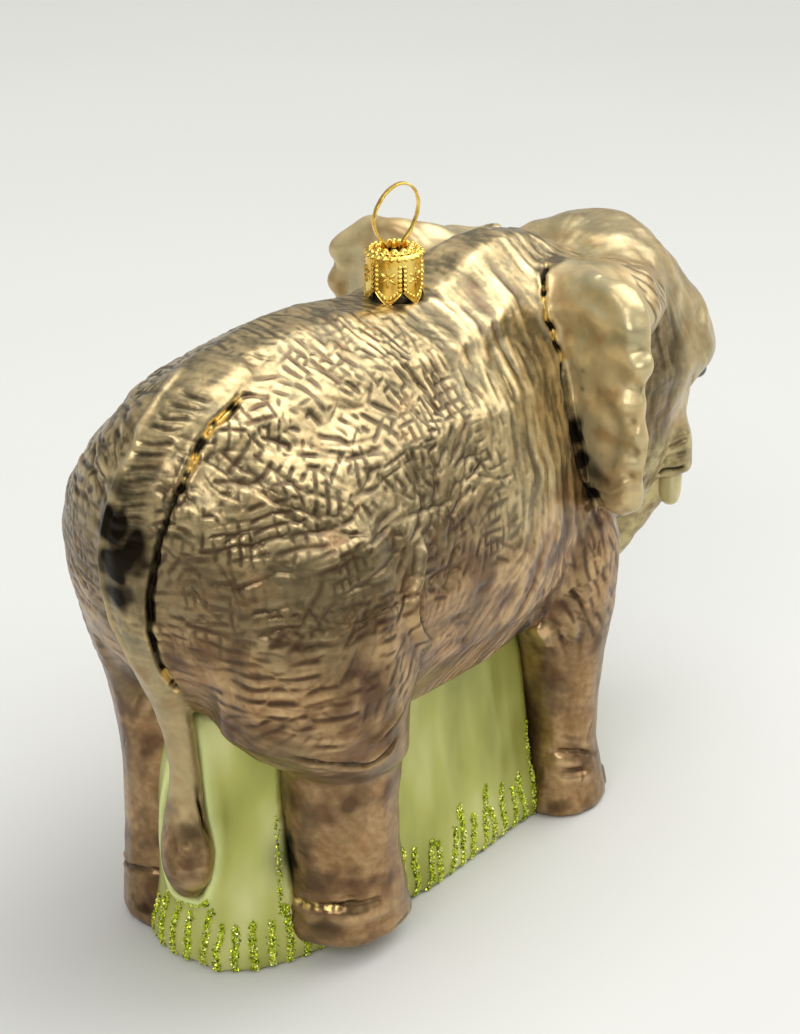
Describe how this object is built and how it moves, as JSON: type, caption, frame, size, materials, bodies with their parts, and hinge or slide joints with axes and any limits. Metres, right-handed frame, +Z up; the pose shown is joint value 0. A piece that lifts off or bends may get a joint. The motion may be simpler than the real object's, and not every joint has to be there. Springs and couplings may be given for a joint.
{
  "type": "blown glass elephant ornament",
  "caption": "Mould-blown glass elephant, silvered and painted, walking over a wall of grass it stands on, with a crimped metal cap and wire loop to hang it by.",
  "frame": {"origin": "centre of the whole ornament's box, on the surface it stands on", "axes": "+Z up; the elephant faces -Y; +X is its left side"},
  "size_m": [0.0744, 0.1536, 0.1269],
  "materials": {
    "hide_glass": "silvered inside, pearl olive-bronze lacquer outside with brown stain in the wrinkles, satin",
    "grass_glass": "silvered inside, pearl green lacquer with brush strokes and lines of lime and gold glitter",
    "ivory_paint": "cream lacquer, satin",
    "eye_paint": "black lacquer, glossy",
    "bare_glass": "bare silvered glass, glossy",
    "cap_brass": "gold-coloured thin sheet, embossed and crimped",
    "wire_brass": "gold-coloured spring strip, polished"
  },
  "bodies": {
    "root": {"torso": "hide_glass", "neck": "hide_glass", "leg_hind_right": "hide_glass", "leg_hind_left": "hide_glass", "leg_fore_right": "hide_glass", "leg_fore_left": "hide_glass", "head": "hide_glass", "trunk": "hide_glass", "tail": "hide_glass", "ear_left": "hide_glass", "ear_right": "hide_glass", "tusk_left": "ivory_paint", "tusk_right": "ivory_paint", "eye_left": "eye_paint", "eye_right": "eye_paint", "grass_base": "grass_glass", "glass_neck": "bare_glass", "cap": "cap_brass", "hanger": "wire_brass"}
  },
  "joints": []
}
